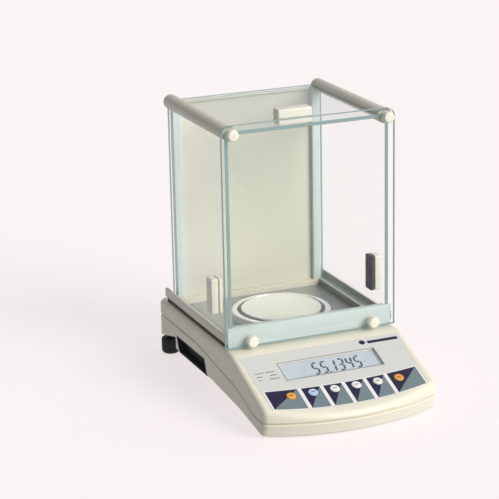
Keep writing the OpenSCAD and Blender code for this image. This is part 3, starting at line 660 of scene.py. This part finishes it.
def arc_strip(x0, x1, margin=0.0, steps=12):
    xs = [x0 + (x1 - x0) * i / steps for i in range(steps + 1)]
    return [(x, field_low(x) - margin) for x in xs] + [(x, field_top(x) + margin) for x in reversed(xs)]


def build_printing():
    holes = [circle(x, ks, KEY_HOLE_R) for x, ks in KEY_AT]
    band = flat_sheet([arc_strip(-89.6, 89.6, 1.0, 48), *holes], PRINTED)
    piece_from(band, "white_band", materials=[WHITE], body="root")
    for node, (kx, ks) in zip(KEYS, KEY_AT):
        near, far = next(e for e in FIELD_EDGES if e[0] < abs(kx) < e[1])
        x0, x1 = sorted((math.copysign(near, kx), math.copysign(far, kx)))
        field = flat_sheet([arc_strip(x0, x1), circle(kx, ks, KEY_HOLE_R)], 2 * PRINTED)
        place = on_face()
        low, high = Vector((x0, field_low(x0), 0)), Vector((x1, field_top(x1), 0))
        across = Vector((low.y - high.y, high.x - low.x, 0))
        normal = place.to_3x3() @ across
        bmesh.ops.bisect_plane(field, geom=[*field.verts, *field.edges, *field.faces], plane_co=place @ low,
                               plane_no=normal)
        for face in field.faces:
            face.material_index = 0 if (face.calc_center_median() - place @ low).dot(normal) > 0 else 1
        piece_from(field, node + "_field", materials=[NAVY, SLATE], body="root")

    # plain mark in place of a name, and short bars in place of the lines of small print
    mark = [circle(48.5, 65, 3.6, 40), rectangle(54.5, 61.8, 91, 66.2)]
    small = [rectangle(-87, 42, -77, 43.2), rectangle(-75, 42, -65, 43.2), rectangle(-87, 36.5, -80, 37.7),
             rectangle(-72, 36.5, -64, 37.7), rectangle(-87, 31, -83.5, 32.2), rectangle(-74, 31, -63, 32.2)]
    w, h, s = LCD
    line = 0.8
    border = [rectangle(-w / 2 - line, s - h / 2 - line, w / 2 + line, s + h / 2 + line),
              rectangle(-w / 2, s - h / 2, w / 2, s + h / 2)]
    piece_from(flat_sheet(border, PRINTED), "window_line", materials=[GREY], body="root")
    for name, shapes, material in (("plain_mark", mark, NAVY), ("small_bars", small, GREY)):
        piece_from(joined([flat_sheet([shape], PRINTED) for shape in shapes]), name, materials=[material],
                   body="root")


READING = "551345"
LIT = {"1": "bc", "3": "abgcd", "4": "fgbc", "5": "afgcd"}


def digit_segments(symbol, x, y, width, height):
    """Outlines of a slanted seven-segment digit."""
    t = 2.4
    gap = 0.25
    mid = height / 2
    across = {"a": height - t / 2, "g": mid, "d": t / 2}
    upright = {"f": (t / 2, mid, height), "b": (width - t / 2, mid, height), "c": (width - t / 2, 0, mid)}
    shapes = []
    for name in LIT[symbol]:
        if name in across:
            cy = across[name]
            shape = [(t / 2 + gap, cy), (t + gap, cy - t / 2), (width - t - gap, cy - t / 2),
                     (width - t / 2 - gap, cy), (width - t - gap, cy + t / 2), (t + gap, cy + t / 2)]
        else:
            cx, low, high = upright[name]
            low += gap + (t / 2 if low == 0 else 0)
            high -= gap + (t / 2 if high == height else 0)
            shape = [(cx, low), (cx + t / 2, low + t / 2), (cx + t / 2, high - t / 2), (cx, high),
                     (cx - t / 2, high - t / 2), (cx - t / 2, low + t / 2)]
        slant = math.tan(math.radians(8))
        shapes.append([(x + px + py * slant, y + py) for px, py in shape])
    return shapes


def build_display():
    w, h, s = LCD
    low, pitch, width, height = s - h / 2 + 3.0, 9.9, 7.9, 20.0
    start = -23.0
    shapes = []
    x = start
    for symbol in READING:
        shapes += digit_segments(symbol, x, low, width, height)
        x += pitch
    dot = start + 2 * pitch - 1.5
    shapes.append(rectangle(dot, low, dot + 2, low + 2))
    cell_out = -2.95
    segments = joined([flat_sheet([shape], cell_out) for shape in shapes])
    piece_from(segments, "display_digits", materials=[SEGMENT], body="root")


def build_keys():
    profile = [(0, -6.1), (1.7, -6.1), (1.7, -4.4), (6.6, -4.4), (6.6, -2.9), (5.2, -2.9), (5.2, 0.35)]
    dome = arc((4.7, 0.35), 0.5, 0, 70, 5)[1:]
    crown = [(4.87 - 4.87 * i / 6, 0.82 + 0.38 * math.sin(math.pi / 2 * i / 6)) for i in range(1, 7)]
    for node, (x, s) in zip(KEYS, KEY_AT):
        bm = lathe(profile + dome + crown, (0, 0, 0), 64)
        bm.transform(on_face(x, s))
        piece_from(bm, "button_" + node, [node], [MATERIALS[SLOT_OF[node]]])
        dash = prism(rectangle(-2.2, -0.45, 2.2, 0.45), 1.0, 1.24, on_face(x, s))
        piece_from(dash, node + "_dash", materials=[KEY_MARK], body=BODY_OF[node])


# ---------------------------------------------------------------- weighing pan, feet and knobs

def build_pan():
    low, high = box("pan")
    r = (high.x - low.x) / 2
    bottom, top = low.z, high.z
    # this steel glows a little of its own: painted light
    steel = [MATERIALS["pan_steel"]]
    profile = [(0, top - 1.2), (r - 1, top - 1.2), (r - 1, bottom), (r - 0.7, bottom), (r, bottom + 0.4)]
    profile += arc((r - 0.7, top - 0.7), 0.7, 0, 90, 6)
    profile += [(r - 2.2, top - 0.05), (r - 3.2, top - 0.35), (0, top - 0.35)]
    piece_from(lathe(profile, (0, PAN_Y, 0)), "weighing_pan", ["pan"], steel, smooth_angle=50)
    low, high = box("draft_ring")
    r = (high.x - low.x) / 2
    inner, top = 49.5, high.z
    profile = [(r - 1.5, low.z), (r, low.z), (r, top - 2.2)] + arc((r - 2.2, top - 2.2), 2.2, 0, 90, 8)[1:]
    profile += arc((inner + 0.6, top - 0.6), 0.6, 90, 180, 4)
    profile += [(inner, top - 1.2), (inner + 0.4, top - 1.4), (r - 1.5, top - 1.6), (r - 1.5, low.z)]
    piece_from(lathe(profile, (0, PAN_Y, 0)), "draft_shield_ring", ["draft_ring"], steel, smooth_angle=50)


HANDLE_ROUND = 1.7


def build_handle(node, glass, axis, inner):
    """Two rounded halves that clamp a pane. The half in the chamber takes the material called inner."""
    low, high = box(node)
    glass_low, glass_high = box(glass)
    outward = 1 if high[axis] > 0 else -1
    halves = []
    for index, (a, b) in enumerate(((low[axis], glass_low[axis]), (glass_high[axis], high[axis]))):
        corners = low.copy(), high.copy()
        corners[0][axis], corners[1][axis] = a, b
        bm = bmesh.new()
        bmesh.ops.create_cube(bm, size=1)
        for vert in bm.verts:
            vert.co = Vector([corners[vert.co[i] > 0][i] for i in range(3)])
        flat = b if index == 0 else a
        edges = [e for e in bm.edges if not all(abs(v.co[axis] - flat) < 0.01 for v in e.verts)]
        bmesh.ops.bevel(bm, geom=edges, offset=HANDLE_ROUND, offset_type="OFFSET", segments=5, profile=0.5,
                        affect="EDGES", clamp_overlap=True)
        is_inner = (index == 0) == (outward > 0)
        for face in bm.faces:
            face.material_index = 1 if is_inner else 0
        halves.append(bm)
    piece_from(joined(halves), "fine_" + node, [node], [MATERIALS["handle_cream"], inner])


# the right-hand strip of painted shade under the lower rail: its span in X and in Z
SHADE_STRIP_X, SHADE_STRIP_Z = (90.95, 96.2), (65.05, 70.25)


def build_lower_rail(node, side):
    """A lower rail with a grey chamber side, and a dark strip of painted shade that fills the gap under its
    outer lip.
    """
    low, high = box(node)
    bm = soften(cad_mesh(node), 0.35)
    for face in bm.faces:
        face.material_index = 1 if face.normal.x * side < -0.5 else 0
    # a dark strip of painted shade under the outer lip
    x0, x1 = sorted(side * x for x in SHADE_STRIP_X)
    shade_strip = prism(rectangle(x0, SHADE_STRIP_Z[0], x1, SHADE_STRIP_Z[1]), low.y + 0.6, high.y - 0.6, ALONG_Y)
    soften(shade_strip, 0.6)
    for face in shade_strip.faces:
        face.material_index = 2
    piece_from(joined([bm, shade_strip]), "fine_" + node, [node], [MATERIALS["rail_cream"], RAIL_INNER, RAIL_GAP_SHADE])


build_upper_housing()
build_lower_housing()
build_lower_rail("left_lower_rail", -1)
build_lower_rail("right_lower_rail", 1)
build_film()
build_printing()
build_display()
build_keys()
build_pan()

PANE_CORNER = 9.5
for node, axis, corner in (("front_glass", 1, PANE_CORNER), ("left_door_glass", 0, 0),
                           ("right_door_glass", 0, 0), ("lid_glass", 2, 0)):
    pane(node, axis, corner)

# the right handle's inner half takes the dark painted shade; the other handles are cream all over
for node, glass, axis, inner in (("left_door_handle", "left_door_glass", 0, MATERIALS["handle_cream"]),
                                 ("right_door_handle", "right_door_glass", 0, HANDLE_SHADE),
                                 ("lid_handle", "lid_glass", 2, MATERIALS["handle_cream"])):
    build_handle(node, glass, axis, inner)

SOFTENED = {
    "left_side_grip": 0.8, "right_side_grip": 0.8, "left_level_foot": 0.5, "right_level_foot": 0.5,
    "front_pads": 0.4, "front_bar": 0.4, "rear_bar": 0.5, "left_post": 0.5, "right_post": 0.5,
    "left_top_rail": 0.3, "right_top_rail": 0.3, "rear_panel": 0.35, "floor_plate": 0.25,
    "upper_left_knob": 0.35, "upper_right_knob": 0.35, "lower_left_knob": 0.35, "lower_right_knob": 0.35,
    "level_vial": 0.25, "power_jack": 0.2, "pan_support": 0.2,
}
for node, radius in SOFTENED.items():
    softened(node, radius)

for node, thing in frame["nodes"].items():
    for holder in thing.material_slots:
        holder.material = MATERIALS[SLOT_OF[node]]


# ---------------------------------------------------------------- floor, light and camera

FLOOR_COLOUR = (0.60, 0.59, 0.59)
FLOOR_GLOW = 0.69
FLOOR_GLOW_COLOUR = (1.0, 0.932, 0.932, 1)


def build_floor():
    """A wide pale sweep that glows a little, so that shadows on it stay soft."""
    paint = Paint("studio_floor", FLOOR_COLOUR, 0.9)
    paint.tint(paint.noise(0.6, 2), 0.995)
    paint.shader.inputs["Emission Color"].default_value = FLOOR_GLOW_COLOUR
    paint.shader.inputs["Emission Strength"].default_value = FLOOR_GLOW
    bm = bmesh.new()
    bmesh.ops.create_grid(bm, x_segments=24, y_segments=24, size=9)
    mesh = bpy.data.meshes.new("studio_floor")
    bm.to_mesh(mesh)
    bm.free()
    mesh.materials.append(paint.material)
    floor = bpy.data.objects.new("studio_floor", mesh)
    bpy.context.scene.collection.objects.link(floor)
    floor.visible_diffuse = False


SKY_LEFT, SKY_RIGHT = 0.25, 0.7
KEY_ENERGY, KEY_SPREAD = 2.36, math.radians(35)
KEY_TOWARD = Vector((0.45, -0.75, 0.48))


def build_light():
    """A soft surround that is brighter on the right, and a broad key lamp from the front right."""
    world = bpy.data.worlds.new("studio")
    bpy.context.scene.world = world
    world.use_nodes = True
    tree = world.node_tree
    sky = tree.nodes["Background"]
    sky.inputs["Color"].default_value = (*linear((0.98, 0.98, 1.0)), 1)
    coords = tree.nodes.new("ShaderNodeTexCoord")
    split = tree.nodes.new("ShaderNodeSeparateXYZ")
    ramp = tree.nodes.new("ShaderNodeMapRange")
    ramp.inputs["From Min"].default_value = -1
    ramp.inputs["From Max"].default_value = 1
    ramp.inputs["To Min"].default_value = SKY_LEFT
    ramp.inputs["To Max"].default_value = SKY_RIGHT
    tree.links.new(coords.outputs["Generated"], split.inputs["Vector"])
    tree.links.new(split.outputs["X"], ramp.inputs["Value"])
    tree.links.new(ramp.outputs["Result"], sky.inputs["Strength"])
    key = bpy.data.lights.new("soft_key", "SUN")
    key.energy = KEY_ENERGY
    key.angle = KEY_SPREAD
    key.color = linear((1.0, 0.985, 0.96))
    lamp = bpy.data.objects.new("soft_key", key)
    bpy.context.scene.collection.objects.link(lamp)
    lamp.rotation_mode = "QUATERNION"
    lamp.rotation_quaternion = KEY_TOWARD.to_track_quat("Z", "Y")


def build_camera():
    """The photo's camera: where it looks from, how far it stands, and how it is rolled."""
    azimuth, elevation, roll = (math.radians(a) for a in (-22.54, 17.01, -1.19))
    target = Vector((-1.58, 125, 120.49))
    distance = 2265.48
    lens, sensor = 141.62, 36
    back = Vector((math.sin(azimuth) * math.cos(elevation), -math.cos(azimuth) * math.cos(elevation),
                   math.sin(elevation)))
    right = (-back).cross(Vector((0, 0, 1))).normalized()
    up = right.cross(-back)
    turned_right = right * math.cos(roll) + up * math.sin(roll)
    turned_up = up * math.cos(roll) - right * math.sin(roll)
    data = bpy.data.cameras.new("camera")
    data.sensor_width = sensor
    data.lens = lens
    data.clip_end = 60
    camera = bpy.data.objects.new("camera", data)
    bpy.context.scene.collection.objects.link(camera)
    axes = Matrix((turned_right, turned_up, back)).transposed().to_4x4()
    camera.matrix_world = Matrix.Translation((target + back * distance) * MM) @ axes
    bpy.context.scene.camera = camera


build_floor()
build_light()
build_camera()
bpy.context.scene.view_settings.view_transform = "Standard"
bpy.context.view_layer.update()
